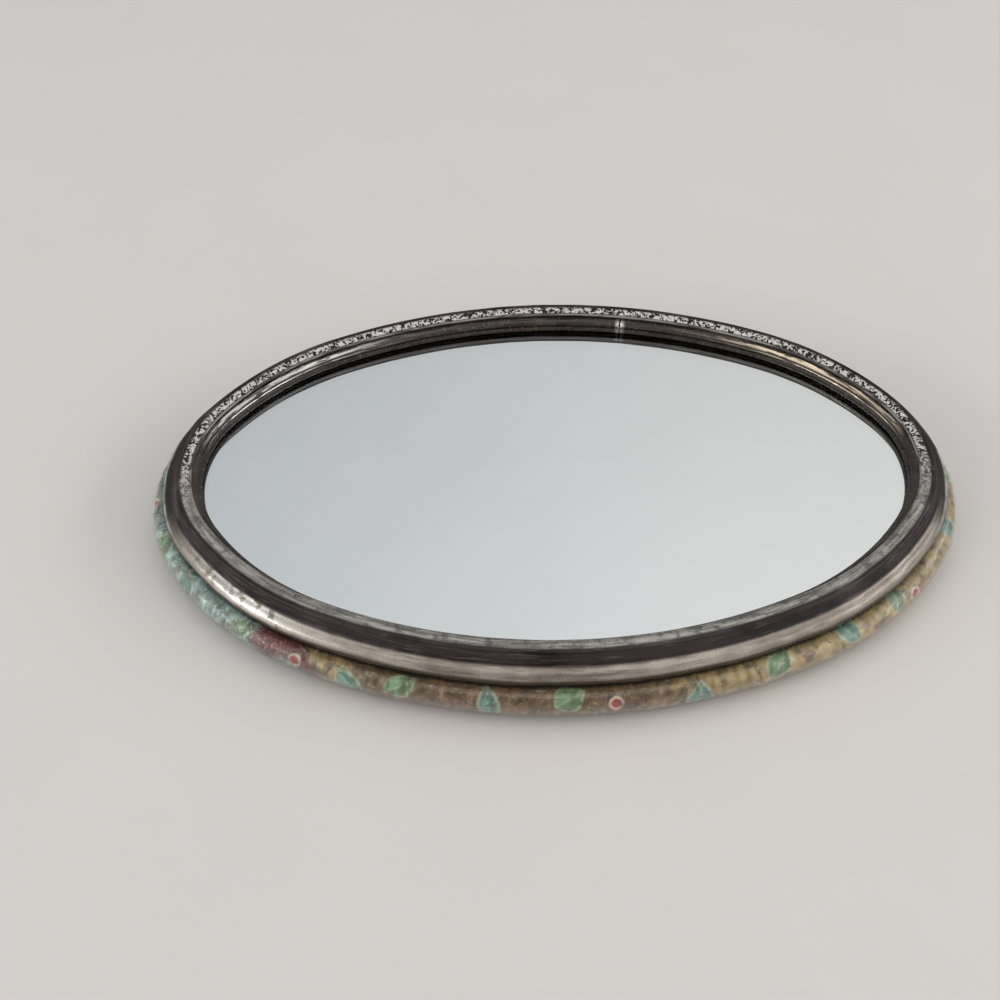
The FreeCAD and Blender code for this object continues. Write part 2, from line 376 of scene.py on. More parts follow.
def wrap_section(depth):
    """The rolled side, at a depth under the film's face, from the flat back up to the lip and along it."""
    roll = arc_points((ROLL_RADIUS, ROLL_RADIUS), ROLL_RADIUS - depth, -90, 0)
    shoulder = arc_points((SHOULDER_RADIUS, ROLL_RADIUS), SHOULDER_RADIUS - depth, 0, 90)
    lip = line_points((SHOULDER_RADIUS, LIP_TOP - depth), (LIP_INSET, LIP_TOP - depth))
    return joined(roll, shoulder, lip)


def crinkle(share):
    """Depth of the pleats at shares of the way up the side: always inwards, but not into the tin."""
    run = share * SIDE_LENGTH
    pleats = smooth(PLEAT_START, PLEAT_FULL, run)[:, None] * np.minimum(relief(run, PLEATS) - PLEAT_SINK, 0)
    return np.maximum(pleats + relief(run, SWAYS) - SWAY_SINK, -CRINKLE_LIMIT)


def wrap_face(depth, levels):
    """One face of a wrapped layer, its rings from the middle out to the lip.

    It comes with each ring's places on the flat print, and the rings' distances up the side."""
    section = wrap_section(depth)
    run = lengths(section)
    flat_edge = EDGE - OUTWARD * ROLL_RADIUS
    insets, heights = pushed(section, crinkle(run / run[-1]) * smooth(0, CRINKLE_START, run)[:, None])
    flat = flat_edge[None] * levels[:, None, None]
    disc = np.concatenate([flat, np.full((len(levels), STATIONS, 1), depth)], axis=2)
    spread = flat_edge[None] + OUTWARD[None] * run[:, None, None]
    climbed = np.concatenate([np.zeros(len(levels)), run])
    return np.concatenate([disc, on_oval(insets, heights)]), np.concatenate([flat, spread]), climbed


def wrapped(name, depth, thickness, rings, material, colour=None):
    """One layer of the covered back, as a closed thin shell. The colour is painted on its unrolled print."""
    levels = np.linspace(0, 1, rings + 1)[1:-1]
    outer, outer_places, climbed = wrap_face(depth, levels)
    inner, inner_places, inner_climbed = wrap_face(depth + thickness, levels[::HIDDEN_RING_STEP])
    points = np.concatenate([outer, inner[::-1]]).reshape(-1, 3)
    places = np.concatenate([outer_places, inner_places[::-1]]).reshape(-1, 2)
    rows = len(outer) + len(inner)
    middle = rows * STATIONS
    first = np.arange(STATIONS)
    last = first + middle - STATIONS
    faces = [ring_faces(rows, False), fan(middle, first, True), fan(middle + 1, last, False)]
    points = np.concatenate([points, [[0, 0, depth], [0, 0, depth + thickness]]])
    places = np.concatenate([places, np.zeros((2, 2))])
    climbed = np.concatenate([climbed, inner_climbed[::-1]])
    values = {
        "unrolled": np.concatenate([unrolled(climbed), np.zeros((2, 3))]),
        "printed": np.concatenate([places, np.zeros((len(places), 1))], axis=1),
        "climbed": np.concatenate([np.repeat(climbed, STATIONS), [0, 0]]),
    }
    if colour is not None:
        values["print_colour"] = colour(places)
    return new_piece(name, points, faces, material, values)


# The print: a wreath of plain flowers and leaves on a mottled ground

def rgb(red, green, blue):
    """A screen colour, 0 to 255, as light."""
    value = np.array([red, green, blue]) / 255
    return ((value + 0.055) / 1.055) ** 2.4


CREAM = rgb(222, 212, 184)
MAROON = rgb(104, 48, 42)
RED = rgb(158, 50, 48)
TEAL = rgb(98, 146, 132)
LEAF = rgb(112, 146, 106)
PALE_LEAF = rgb(172, 190, 160)
TAN = rgb(160, 138, 92)
OLIVE = rgb(112, 90, 62)
BLUE_GREY = rgb(142, 168, 164)
GREEN_GREY = rgb(98, 122, 108)
DULL_TAN = 0.8 * TAN
DULL_CREAM = 0.8 * CREAM

DISC_HALF_LENGTH = LENGTH / 2 - ROLL_RADIUS
DISC_HALF_WIDTH = WIDTH / 2 - ROLL_RADIUS

# the ground: colours by direction on the side, in degrees, and by distance to the right on the flat disc
SIDE_STOPS = (
    (-180, GREEN_GREY), (-166, BLUE_GREY), (-143, BLUE_GREY), (-141, MAROON), (-139, MAROON), (-137, TAN),
    (-133, OLIVE), (-78, OLIVE), (-52, TAN), (30, TAN), (75, OLIVE), (120, BLUE_GREY), (180, GREEN_GREY),
)
FLAT_STOPS = ((-30, GREEN_GREY), (-12, BLUE_GREY), (8, DULL_TAN), (30, TAN))
DISC_EDGE_SHARES = (0.92, 1.0)
WANDER = 3
SHADE_SHARES = (0.35, 1.7)
BLOT_WAVES = 22
BLOT_SIZE_SHARES = (0.7, 1.8)


def blot(places, seed, size):
    """A soft random field over the flat print."""
    random = np.random.default_rng(seed)
    field = np.zeros(len(places))
    for _ in range(BLOT_WAVES):
        heading = random.uniform(0, FULL_TURN)
        rate = FULL_TURN / (size * random.uniform(*BLOT_SIZE_SHARES))
        slide = places @ np.array([math.cos(heading), math.sin(heading)])
        field += np.cos(slide * rate + random.uniform(0, FULL_TURN))
    return field / math.sqrt(BLOT_WAVES)


def between_stops(value, stops):
    """Colours between the two stops, each a number and a colour, that a number falls between."""
    numbers = [stop[0] for stop in stops]
    colours = np.array([stop[1] for stop in stops])
    return np.stack([np.interp(value, numbers, colours[:, channel]) for channel in range(3)], axis=1)


def painted(colours, mask, colour):
    """Lays a colour over others where the mask is one."""
    mask = mask[:, None]
    return colours * (1 - mask) + colour * mask


def ground_colour(places):
    """The mottled ground: grey green and blue grey at the left, olive brown near, and tan at the right."""
    direction = np.degrees(np.arctan2(places[:, 1], places[:, 0]))
    side = between_stops(direction + WANDER * blot(places, seed=31, size=9), SIDE_STOPS)
    flat = between_stops(places[:, 0] + WANDER * blot(places, seed=34, size=14), FLAT_STOPS)
    reach = np.hypot(places[:, 0] / DISC_HALF_LENGTH, places[:, 1] / DISC_HALF_WIDTH)
    ground = painted(flat, smooth(*DISC_EDGE_SHARES, reach), side)
    shade = 1 + 0.20 * blot(places, seed=32, size=2.6) + 0.18 * blot(places, seed=33, size=0.8)
    return ground * np.clip(shade, *SHADE_SHARES)[:, None]


# soft edges and line widths of the print
LEAF_BLUR = 0.2
DOT_BLUR = 0.06
PETAL_BLUR = 0.1
OUTLINE_BLUR = 0.12
SPOT_BLUR = 0.08
LEAF_OUTLINE = 0.12
PETAL_OUTLINE = 0.28
VEIN_GAP = 0.5
MIDRIB = (0.16, 0.04)
DARK_HALF = (-0.1, 0.3)

# parts of a motif as shares of its size
LEAF_TAPER_SHARE = 0.8
INNER_LEAF_SHARES = (0.86, 0.8)
INNER_DOT_SHARE = 0.68
PETAL_SHARES = (0.62, 0.38)
PETAL_ROUND = 0.7
VEIN_START_SHARE = 0.35
HEART_SHARE = 0.33
SPOT_PLACE_SHARE = 0.5
SPOT_SHARE = 0.075


def local(places, centre, turn):
    """Places seen from a motif: distance along it and across it."""
    moved = places - np.array(centre)
    ahead = np.array([math.cos(turn), math.sin(turn)])
    return moved @ ahead, moved @ np.array([-ahead[1], ahead[0]])


def leaf_mask(places, centre, turn, length, width):
    """One inside a leaf that starts at the centre."""
    ahead, aside = local(places, centre, turn)
    share = np.clip(ahead / length, 0, 1)
    edge = width / 2 * np.sin(np.pi * share ** LEAF_TAPER_SHARE)
    return smooth(0, LEAF_BLUR, edge - np.abs(aside)) * (ahead > 0) * (ahead < length)


def disc_mask(reach, radius, blur):
    """One where the reach is less than the radius."""
    return smooth(-blur, blur, radius - reach)


def border_leaf(colours, places, centre, turn, length, width, tint):
    """A leaf with a pale edge, a darker half and a midrib."""
    ahead, aside = local(places, centre, turn)
    colours = painted(colours, 0.65 * leaf_mask(places, centre, turn, length, width), PALE_LEAF)
    start = centre + LEAF_OUTLINE * np.array([math.cos(turn), math.sin(turn)])
    length_share, width_share = INNER_LEAF_SHARES
    inner = leaf_mask(places, start, turn, length_share * length, width_share * width)
    colours = painted(colours, inner, tint)
    colours = painted(colours, 0.5 * inner * smooth(*DARK_HALF, aside), tint * 0.5)
    return painted(colours, 0.4 * inner * smooth(*MIDRIB, np.abs(aside)), PALE_LEAF)


def border_dot(colours, places, centre, radius, tint):
    """A dot with a pale rim."""
    reach = np.hypot(*(places - centre).T)
    colours = painted(colours, disc_mask(reach, radius, DOT_BLUR), DULL_CREAM)
    return painted(colours, disc_mask(reach, INNER_DOT_SHARE * radius, DOT_BLUR), tint)


def flower(colours, places, centre, turn, radius, petals, petal, heart):
    """A flower of round petals with a darker edge, a heart and a ring of dots."""
    ahead, aside = local(places, centre, turn)
    reach = np.hypot(ahead, aside)
    around = np.arctan2(aside, ahead) * petals / 2
    edge = radius * (PETAL_SHARES[0] + PETAL_SHARES[1] * np.abs(np.cos(around)) ** PETAL_ROUND)
    colours = painted(colours, disc_mask(reach, edge, OUTLINE_BLUR), petal * 0.45)
    colours = painted(colours, disc_mask(reach, edge - PETAL_OUTLINE, PETAL_BLUR), petal)
    veins = smooth(0.8, 1, np.abs(np.sin(around + np.pi / 2)) * (reach > VEIN_START_SHARE * radius))
    colours = painted(colours, 0.5 * veins * disc_mask(reach, edge - VEIN_GAP, PETAL_BLUR), petal * 0.6)
    colours = painted(colours, disc_mask(reach, HEART_SHARE * radius, PETAL_BLUR), heart)
    for dot in range(petals):
        spot = FULL_TURN * (dot + 0.5) / petals
        place = SPOT_PLACE_SHARE * radius
        apart = np.hypot(ahead - place * math.cos(spot), aside - place * math.sin(spot))
        colours = painted(colours, disc_mask(apart, SPOT_SHARE * radius, SPOT_BLUR), CREAM)
    return colours


# the border: leaves, and a dot in place of every fifth, at random distances out from the flat disc
BORDER_MOTIFS = 36
BORDER_TINTS = (LEAF, TEAL, LEAF, RED, TEAL)
DOT_KIND = 3
SPREAD_SHARES = (-0.45, 0.45)
DOT_PLACES = (3.6, 4.5)
DOT_RADIUS = 0.62
LEAF_PLACES = (1.4, 4.0)
LEAF_LEANS = (-1.1, 1.1)
LEAF_LENGTHS = (2.8, 4.2)
LEAF_WIDTHS = (1.9, 2.9)

# the row of small dots near the fold
ROW_DOTS = 150
ROW_PLACE = 0.5
ROW_RADIUS = 0.2

# the wreath of flowers of two sizes, and the flower in the middle; a leaf is a length and a width
BLOOMS = 12
WREATH_SHARE = 0.72
BLOOM_RADII = (3.1, 2.5)
BLOOM_TINTS = ((CREAM, MAROON), (RED, TAN), (TEAL, CREAM), (TAN, MAROON))
LEAF_SPREAD = 1.25
PALE_SPREAD = 0.35
WREATH_LEAF = (5.2, 1.9)
WREATH_PALE = (4.4, 1.0)
MIDDLE_LEAVES = 8
MIDDLE_LEAF = (10.5, 2.8)
MIDDLE_RADIUS = 6.2
MIDDLE_TURN = 0.2


def on_ring(angle, share, out=0.0):
    """A place on a share of the flat disc, or the given distance outside that."""
    reach = np.array([DISC_HALF_LENGTH * share + out, DISC_HALF_WIDTH * share + out])
    return reach * (math.cos(angle), math.sin(angle))


def border(colours, places):
    """Leaves and dots that run up the side."""
    random = np.random.default_rng(41)
    for number in range(BORDER_MOTIFS):
        angle = FULL_TURN * (number + random.uniform(*SPREAD_SHARES)) / BORDER_MOTIFS
        lean = math.atan2(math.sin(angle) / DISC_HALF_WIDTH, math.cos(angle) / DISC_HALF_LENGTH)
        kind = number % len(BORDER_TINTS)
        if kind == DOT_KIND:
            centre = on_ring(angle, 1.0, random.uniform(*DOT_PLACES))
            colours = border_dot(colours, places, centre, DOT_RADIUS, BORDER_TINTS[kind])
            continue
        start = on_ring(angle, 1.0, random.uniform(*LEAF_PLACES))
        turn = lean + random.uniform(*LEAF_LEANS)
        length = random.uniform(*LEAF_LENGTHS)
        width = random.uniform(*LEAF_WIDTHS)
        colours = border_leaf(colours, places, start, turn, length, width, BORDER_TINTS[kind])
    for number in range(ROW_DOTS):
        centre = on_ring(FULL_TURN * number / ROW_DOTS, 1.0, ROW_PLACE)
        colours = border_dot(colours, places, centre, ROW_RADIUS, CREAM)
    return colours


def wreath(colours, places):
    """Flowers of two sizes, each over two leaves and two paler ones, on the hidden flat side."""
    for number in range(BLOOMS):
        angle = FULL_TURN * (number + 0.5) / BLOOMS
        centre = on_ring(angle, WREATH_SHARE)
        for side in (-1, 1):
            turn = angle + side * LEAF_SPREAD
            colours = painted(colours, leaf_mask(places, centre, turn, *WREATH_LEAF), LEAF)
            pale = leaf_mask(places, centre, turn + side * PALE_SPREAD, *WREATH_PALE)
            colours = painted(colours, 0.7 * pale, PALE_LEAF)
        petal, heart = BLOOM_TINTS[number % len(BLOOM_TINTS)]
        odd = number % 2
        colours = flower(colours, places, centre, angle, BLOOM_RADII[odd], 5 + odd, petal, heart)
    return colours


def print_colour(places):
    """The whole print on its unrolled oval, one colour for each place."""
    colours = wreath(border(ground_colour(places), places), places)
    for number in range(MIDDLE_LEAVES):
        turn = FULL_TURN * number / MIDDLE_LEAVES
        tint = PALE_LEAF if number % 2 else LEAF
        colours = painted(colours, leaf_mask(places, (0, 0), turn, *MIDDLE_LEAF), tint)
    return flower(colours, places, (0, 0), MIDDLE_TURN, MIDDLE_RADIUS, MIDDLE_LEAVES, CREAM, MAROON)


# The rim

BEAD_CENTRE = (BEAD_INSET, LIP_TOP + BEAD_RADIUS)
COVE_RADIUS = (RIDGE_INSET - BEAD_INSET + BEAD_RADIUS * cosine(BEAD_END)) / (1 - cosine(BEAD_END))
COVE_CENTRE = (BEAD_CENTRE[0] - (BEAD_RADIUS + COVE_RADIUS) * cosine(BEAD_END),
               BEAD_CENTRE[1] + (BEAD_RADIUS + COVE_RADIUS) * sine(BEAD_END))
RIDGE_CENTRE = (RIDGE_INSET + RIDGE_RADIUS, COVE_CENTRE[1])
CROWN_CENTRE = (RIDGE_CENTRE[0] + (CROWN_RADIUS - RIDGE_RADIUS) * cosine(RIDGE_END),
                RIDGE_CENTRE[1] - (CROWN_RADIUS - RIDGE_RADIUS) * sine(RIDGE_END))
LIP_ROUND_TURN = 7

# wear: the flecked zone starts past the ridge's round and ends before the lip, and less so on the near side
FLECK_START = 0.38
FLECK_END = 0.16
FLECK_FADES = (0.12, 0.08)
FOOT_FADE = 0.3
CURL_FADE = 0.1
# the near side, which the material paints lit: the ridge pale there and black as shaded beyond it, the bead
# dark as shaded beyond its own share
NEAR_SIDE_SHARES = (-0.15, 0.6)
BEAD_NEAR_SIDE_SHARES = (0.25, 0.75)
RUBBED_PLACE = 53
RUBBED_SPREAD = 12
# the painted highlight along the bead's crest, and the lip's edge
CREST_SHARE = 0.78
CREST_WIDTH = 0.15
LIP_WIDTH = 0.07
# the cove's lit foot, and painted shade where the cove faces away from the light
LIT_COVE_SHARE = 0.25
COVE_FADE = 0.12
# painted shade under the bead
UNDER_BEAD_SHADE_SHARES = (0.58, 0.74)

# relief: height, length along, length across and seed
DENTS = ((0.03, 9, 6, 23), (0.014, 2.6, 1.2, 24))
SWELLS = ((0.008, 5, 3, 25),)
PIT_DEPTH = 0.035
STREAK_DEPTH = 0.014
RIDGE_SINK = 0.012
BEAD_SINK = 0.03


def at_angle(centre, radius, angle):
    """Inset and height on a round, by angle up from the outward direction."""
    return centre[0] - radius * cosine(angle), centre[1] + radius * sine(angle)


def rim_section():
    """The rim's closed section, and the distances along it where each of its first rounds ends."""
    crown_end = CROWN_END - LIP_ROUND_TURN
    curl_centre = at_angle(CROWN_CENTRE, CROWN_RADIUS - RIM_THICK / 2, crown_end)
    rounds = [
        arc_points(BEAD_CENTRE, BEAD_RADIUS, -90, BEAD_END, FINE_SPACING),
        arc_points(COVE_CENTRE, COVE_RADIUS, 180 + BEAD_END, 180),
        arc_points(RIDGE_CENTRE, RIDGE_RADIUS, 0, RIDGE_END, FINE_SPACING),
        arc_points(CROWN_CENTRE, CROWN_RADIUS, RIDGE_END, crown_end, FINE_SPACING),
        arc_points(curl_centre, RIM_THICK / 2, crown_end, crown_end + 180, CURL_SPACING),
    ]
    ends = [lengths(joined(*rounds[:count]))[-1] for count in range(1, len(rounds) + 1)]
    under = arc_points(CROWN_CENTRE, CROWN_RADIUS - RIM_THICK, crown_end, RIDGE_END, HIDDEN_SPACING)
    skirt_inner = SKIRT_OUTER + RIM_THICK
    inside = ((skirt_inner, BEAD_CENTRE[1] + BEAD_RADIUS), (skirt_inner, SKIRT_FOOT),
              (SKIRT_OUTER, SKIRT_FOOT), (SKIRT_OUTER, LIP_TOP))
    return joined(*rounds, under, np.array(inside)), ends


def front_rim(material):
    """Rolled tin: outer bead, a cove that its material paints dark as shade, and a pitted ridge whose edge
    curls in over the glass.
    """
    section, (bead_end, cove_end, ridge_end, crown_end, curl_end) = rim_section()
    run = lengths(section)
    near_side = smooth(*NEAR_SIDE_SHARES, NEAR)
    start_fade, end_fade = FLECK_FADES
    from_start = run[:, None] - (ridge_end + FLECK_START * (1 - 0.4 * near_side))
    from_end = run[:, None] - (crown_end - FLECK_END * (1 - near_side))
    top = smooth(-start_fade, start_fade, from_start) * (1 - smooth(-end_fade, end_fade, from_end))
    low = (smooth(0, FOOT_FADE, run) * (1 - smooth(bead_end, cove_end, run)))[:, None]
    shown = (1 - smooth(curl_end, curl_end + CURL_FADE, run))[:, None]
    grain = waves(run, 0.55, 0.45, seed=21, count=60)
    streak = waves(run, 2.4, 0.35, seed=22, count=30)
    pits = -PIT_DEPTH * smooth(0.1, 1.1, grain) - STREAK_DEPTH * smooth(-0.5, 1.2, streak)
    depth = top * (pits * (1 - 0.75 * near_side) - RIDGE_SINK)
    depth += low * (relief(run, DENTS) - BEAD_SINK) + shown * relief(run, SWELLS)
    # values that the material reads: the zones of the section, with painted shade in the cove and under the
    # bead and a painted highlight on the crest, and the near side: the ridge is painted pale as lit there
    # and black as shaded beyond it, and the bead dark as shaded away from it
    heading = np.arctan2(NEAR, -OUTWARD[:, 0])
    rubbed = peak(math.radians(RUBBED_PLACE), math.radians(RUBBED_SPREAD), heading)
    lit_cove_end = bead_end + LIT_COVE_SHARE * (cove_end - bead_end)
    under_start, under_end = (bead_end * share for share in UNDER_BEAD_SHADE_SHARES)
    values = {
        "on_ridge": top,
        "cove_shade": smooth(lit_cove_end - COVE_FADE, lit_cove_end + COVE_FADE, run)[:, None],
        "under_bead_shade": (1 - smooth(under_start, under_end, run))[:, None],
        "crest_highlight": peak(CREST_SHARE * bead_end, CREST_WIDTH, run)[:, None],
        "on_lip": peak(crown_end, LIP_WIDTH, run)[:, None],
        "pitted": top * smooth(-0.2, 0.9, grain),
        "near_side": near_side[None],
        "bead_near_side": smooth(*BEAD_NEAR_SIDE_SHARES, NEAR)[None],
        "rubbed": rubbed[None],
    }
    return swept("rim_sheet", section, depth, material, values, RIM_TOP)


# The retaining ring

RING_SINK = 0.03
WOBBLES = ((0.016, 9, 4, 51), (0.004, 1.8, 1.5, 52), (0.018, 8, 0.3, 53))
CALM_SHARE = 0.85
CALM_LENGTH = 0.5
SHOWN_LENGTH = 0.3
CORNER_SHARES = (0.45, 0.85)
# where the painted warm reflection tints the shine
WARM_REFLECTION_SHARES = (-0.2, 0.6)
WORN_WIDTH = 0.25
SHINE_WIDTH = 0.05
SHINE_TURN = 45


def retaining_ring(material):
    """Beaded strip on the glass, open at a narrow split."""
    wall = at_angle(CROWN_CENTRE, CROWN_RADIUS - RIM_THICK, CROWN_END)[0] - RING_PLAY
    low = (LOW_BEAD_INSET, GLASS_TOP + LOW_BEAD_RADIUS)
    high = (HIGH_BEAD_INSET, GLASS_TOP + HIGH_BEAD_RISE)
    back = line_points((HIGH_BEAD_INSET - RING_THICK, GLASS_TOP), (wall - RING_THICK, RING_TOP))
    neck = line_points((wall, RING_TOP), (high[0], high[1] + HIGH_BEAD_RADIUS))
    section = joined(back, neck, arc_points(high, HIGH_BEAD_RADIUS, 90, 270, RING_SPACING),
                     arc_points(low, LOW_BEAD_RADIUS, 90, 270, RING_SPACING))
    run = lengths(section)
    neck_start = lengths(back)[-1]
    neck_end = lengths(joined(back, neck))[-1]
    # the strip wobbles, but its edge on the glass is even
    calm = 1 - CALM_SHARE * smooth(neck_end, neck_end + CALM_LENGTH, run)[:, None]
    shown = smooth(neck_start, neck_start + SHOWN_LENGTH, run)[:, None]
    wobble = shown * (relief(run, WOBBLES) * calm - RING_SINK)
    from_split = np.where(EDGE[:, 1] > 0, np.abs(EDGE[:, 0] - SPLIT_PLACE), WIDTH)
    ends = 1 - smooth(SPLIT_WIDTH / 2, 2 * SPLIT_WIDTH, from_split)
    worn = 0.3 + 0.7 * peak(neck_end, WORN_WIDTH, run)
    # the neck and the crest of its bead shine at the oval's two far corners and are grimy elsewhere
    corner = smooth(*CORNER_SHARES, -2 * np.abs(OUTWARD[:, 0]) * NEAR)
    on_neck = smooth(neck_start + 0.04, neck_start + 0.14, run)
    on_neck *= 1 - smooth(neck_end - 0.12, neck_end - 0.04, run)
    crest = peak(neck_end + HIGH_BEAD_RADIUS * math.radians(SHINE_TURN), SHINE_WIDTH, run)
    values = {
        "near_split": ends[None] * worn[:, None],
        "polished": (on_neck + crest)[:, None] * (0.04 + 0.96 * corner),
        # a warm tint on the right side: painted reflection of the warm lamp
        "warm_reflection": smooth(*WARM_REFLECTION_SHARES, OUTWARD[:, 0])[None],
    }
    gap = int(from_split.argmin())
    return swept("ring_strip", section, wobble, material, values, RING_TOP, gap)


# The mirror

ARRIS = 0.12
GLASS_LIFT = 0.004


def glass_plate(material):
    """Float glass with a ground arris, a hair above the silvering."""
    bottom = GLASS_BOTTOM + GLASS_LIFT
    profile = ((GLASS_INSET + ARRIS, bottom), (GLASS_INSET, bottom + ARRIS),
               (GLASS_INSET, GLASS_TOP - ARRIS), (GLASS_INSET + ARRIS, GLASS_TOP))
    rows = []
    for inset, height in profile:
        rows.append(np.concatenate([EDGE - OUTWARD * inset, np.full((STATIONS, 1), height)], axis=1))
    first = np.arange(STATIONS)
    last = first + (len(rows) - 1) * STATIONS
    faces = [ring_faces(len(rows), False), first[None, ::-1], last[None]]
    return new_piece("glass_plate", np.concatenate(rows), faces, material, {})


# Materials

# a colour mix node's own sockets, whose names its other kinds use too
MIX_COLOURS = (6, 7)
MIX_RESULT = 2


class Nodes:
    """Short ways to add nodes to a tree. A value is a socket, or a number or colour to set."""

    def __init__(self, tree):
        self.tree = tree

    def node(self, kind, **settings):
        node = self.tree.nodes.new(kind)
        for key, value in settings.items():
            setattr(node, key, value)
        return node

    def feed(self, socket, value):
        if isinstance(value, bpy.types.NodeSocket):
            self.tree.links.new(value, socket)
        else:
            socket.default_value = value

    def part(self, vector, axis):
        """One coordinate of a vector."""
        node = self.node("ShaderNodeSeparateXYZ")
        self.tree.links.new(vector, node.inputs["Vector"])
        return node.outputs[axis]

    def between(self, value, low=0.3, high=0.7, to_low=0.0, to_high=1.0):
        """Stretches low to high, where noise mostly lies, over to_low to to_high, without passing them."""
        node = self.node("ShaderNodeMapRange", interpolation_type="SMOOTHSTEP")
        for socket, number in zip(list(node.inputs)[1:5], (low, high, to_low, to_high)):
            socket.default_value = number
        self.tree.links.new(value, node.inputs["Value"])
        return node.outputs["Result"]

    def calculate(self, operation, first, second):
        node = self.node("ShaderNodeMath", operation=operation)
        self.feed(node.inputs[0], first)
        self.feed(node.inputs[1], second)
        return node.outputs["Value"]

    def plus(self, first, second):
        return self.calculate("ADD", first, second)

    def less(self, first, second):
        return self.calculate("SUBTRACT", first, second)

    def most(self, first, second):
        return self.calculate("MAXIMUM", first, second)

    def times(self, product, *factors):
        for factor in factors:
            product = self.calculate("MULTIPLY", product, factor)
        return product

    def rest(self, share):
        """What a share leaves of one."""
        return self.less(1.0, share)

    def mix(self, share, first, second, blend="MIX"):
        """Blends two colours."""
        node = self.node("ShaderNodeMix", data_type="RGBA", blend_type=blend)
        self.feed(node.inputs["Factor"], share)
        for number, value in zip(MIX_COLOURS, (first, second)):
            linked = isinstance(value, bpy.types.NodeSocket)
            self.feed(node.inputs[number], value if linked else (*value, 1.0))
        return node.outputs[MIX_RESULT]


class Surface(Nodes):
    """A material with one Principled shader. An underscore stands for a space in a socket's name."""

    def __init__(self, name, **sockets):
        self.material = bpy.data.materials.new(name)
        self.material.use_nodes = True
        super().__init__(self.material.node_tree)
        self.shader = self.tree.nodes["Principled BSDF"]
        self.set(**sockets)

    def set(self, **sockets):
        for key, value in sockets.items():
            self.feed(self.shader.inputs[key.replace("_", " ")], value)
        return self.material

    def attribute(self, name, kind="Vector"):
        return self.node("ShaderNodeAttribute", attribute_name=name).outputs[kind]

    def shares(self, *names):
        """Numbers that the mesh holds at its points."""
        return [self.attribute(name, "Fac") for name in names]

    def position(self):
        """Object coordinates in millimetres."""
        place = self.node("ShaderNodeTexCoord").outputs["Object"]
        return self.scaled(place, (1 / MM, 1 / MM, 1 / MM))

    def scaled(self, vector, scale):
        node = self.node("ShaderNodeMapping")
        node.inputs["Scale"].default_value = scale
        self.tree.links.new(vector, node.inputs["Vector"])
        return node.outputs["Vector"]

    def noise(self, vector, size, detail=3.0, roughness=0.6, distortion=0.0):
        """Noise whose features are about the given size in the vector's unit."""
        node = self.node("ShaderNodeTexNoise")
        self.tree.links.new(vector, node.inputs["Vector"])
        node.inputs["Scale"].default_value = 1 / size
        node.inputs["Detail"].default_value = detail
        node.inputs["Roughness"].default_value = roughness
        node.inputs["Distortion"].default_value = distortion
        return node.outputs["Fac"]

    def bump(self, height, distance, strength, after=None):
        """Bump of a height field, the distance in millimetres."""
        node = self.node("ShaderNodeBump")
        node.inputs["Distance"].default_value = distance * MM
        node.inputs["Strength"].default_value = strength
        self.tree.links.new(height, node.inputs["Height"])
        if after is not None:
            self.tree.links.new(after, node.inputs["Normal"])
        return node.outputs["Normal"]


# the rim's colours, pairs where noise blends two. Some are painted light and shade: the far bead's shade and
# its crest's highlight, the shade under the bead and in the cove, and the ridge's shaded black and lit pale
BEAD_TINTS = ((0.25, 0.215, 0.18), (0.42, 0.375, 0.325))
BEAD_STREAK = (0.15, 0.115, 0.09)
# painted shade on the bead's far side, and a painted highlight on its crest there
FAR_BEAD_SHADE = (0.035, 0.032, 0.029)
CREST_HIGHLIGHT = (0.45, 0.44, 0.415)
BARE_TIN = (0.72, 0.68, 0.63)
# painted shade on the bead's underside
UNDER_BEAD_SHADE = (0.050, 0.034, 0.023)
# painted shade in the cove
COVE_SHADE_TINTS = ((0.016, 0.012, 0.012), (0.042, 0.031, 0.032))
COVE_STREAK = (0.13, 0.105, 0.10)
# the ridge's painted light: pale as lit on the near side, black as shaded on the far side
NEAR_RIDGE_LIGHT_TINTS = ((0.17, 0.16, 0.14), (0.44, 0.425, 0.395))
NEAR_RIDGE_PATCH = (0.09, 0.085, 0.08)
RIDGE_SHADE = (0.020, 0.018, 0.017)
FLECK = (0.62, 0.605, 0.57)
LIP_EDGE = (0.52, 0.505, 0.475)


